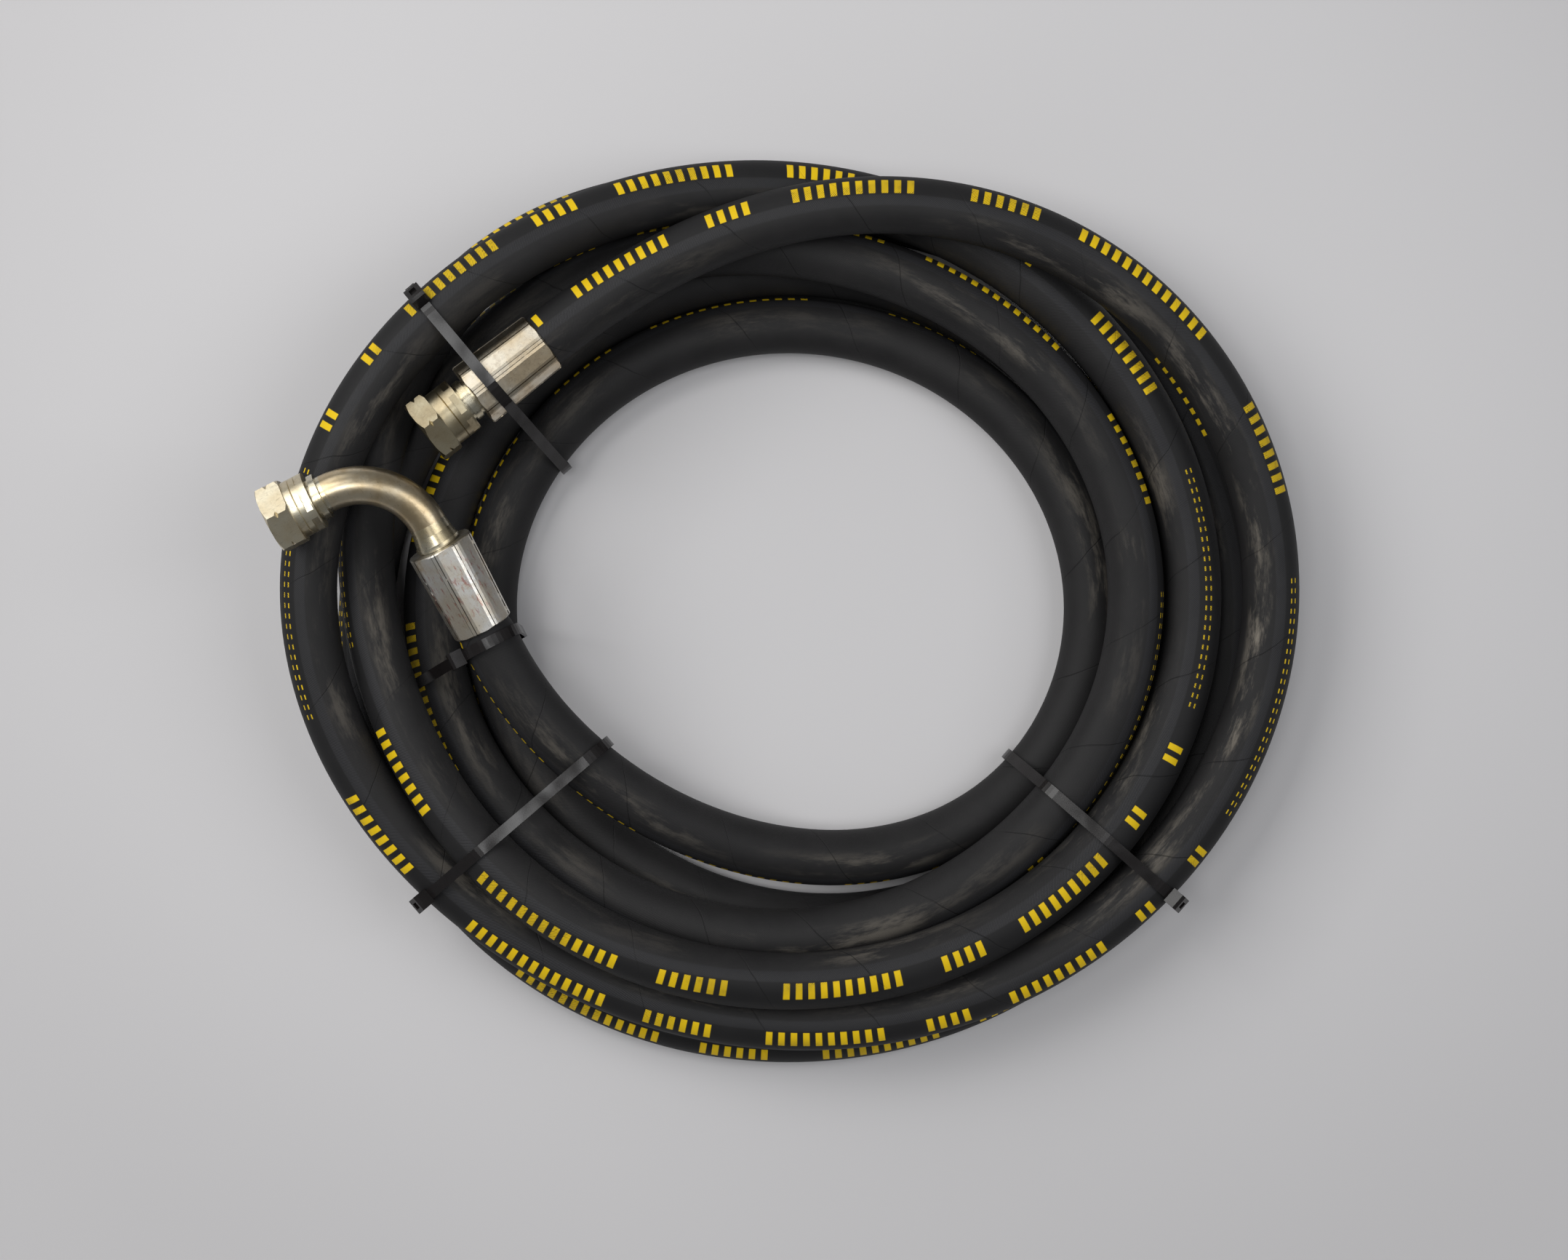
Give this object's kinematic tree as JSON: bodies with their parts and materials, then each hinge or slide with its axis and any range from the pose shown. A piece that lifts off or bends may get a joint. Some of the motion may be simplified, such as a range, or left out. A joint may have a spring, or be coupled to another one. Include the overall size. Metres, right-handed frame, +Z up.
{
  "type": "hydraulic hose assembly",
  "caption": "Coiled high-pressure rubber hose with a straight swivel fitting at one end, a 90 degree swept swivel fitting at the other, and cable ties round the coil.",
  "frame": {"origin": "centre of the bounding box's bottom face: the middle of the coil, on the surface it lies on", "axes": "+Z up, square to the coil; seen from above the straight fitting is at the upper left, with +Y up the page and +X to the right"},
  "size_m": [0.4384, 0.3883, 0.1034],
  "materials": {
    "hose_rubber": "matt, fine cloth-wrap texture",
    "wire_core": "rubber-bonded wire braid",
    "zinc_gold": "yellow-passivated zinc plate",
    "zinc_silver": "clear-passivated zinc plate, lightly stained",
    "zinc_pale": "pale yellow-passivated zinc plate",
    "tie_nylon": "smooth black nylon"
  },
  "bodies": {
    "hose": {"hose_cover": "hose_rubber", "hose_core": "wire_core", "straight_ferrule": "zinc_gold", "straight_stem": "zinc_gold", "elbow_ferrule": "zinc_silver", "elbow_insert": "zinc_pale", "elbow_tube": "zinc_pale", "elbow_swivel_end": "zinc_pale", "tie_upper_left": "tie_nylon", "tie_lower_left": "tie_nylon", "tie_lower_right": "tie_nylon", "tie_elbow": "tie_nylon"},
    "straight_nut": {"straight_nut": "zinc_gold"},
    "elbow_nut": {"elbow_nut": "zinc_pale"}
  },
  "joints": [
    {"name": "straight_nut_spin", "type": "hinge", "parent": "hose", "child": "straight_nut", "pos_m": [-0.13567, 0.08916, 0.06081], "axis": [-0.781, -0.6211, 0.0656], "continuous": true},
    {"name": "elbow_nut_spin", "type": "hinge", "parent": "hose", "child": "elbow_nut", "pos_m": [-0.19474, 0.04741, 0.08777], "axis": [-0.8913, -0.4533, 0], "continuous": true}
  ]
}
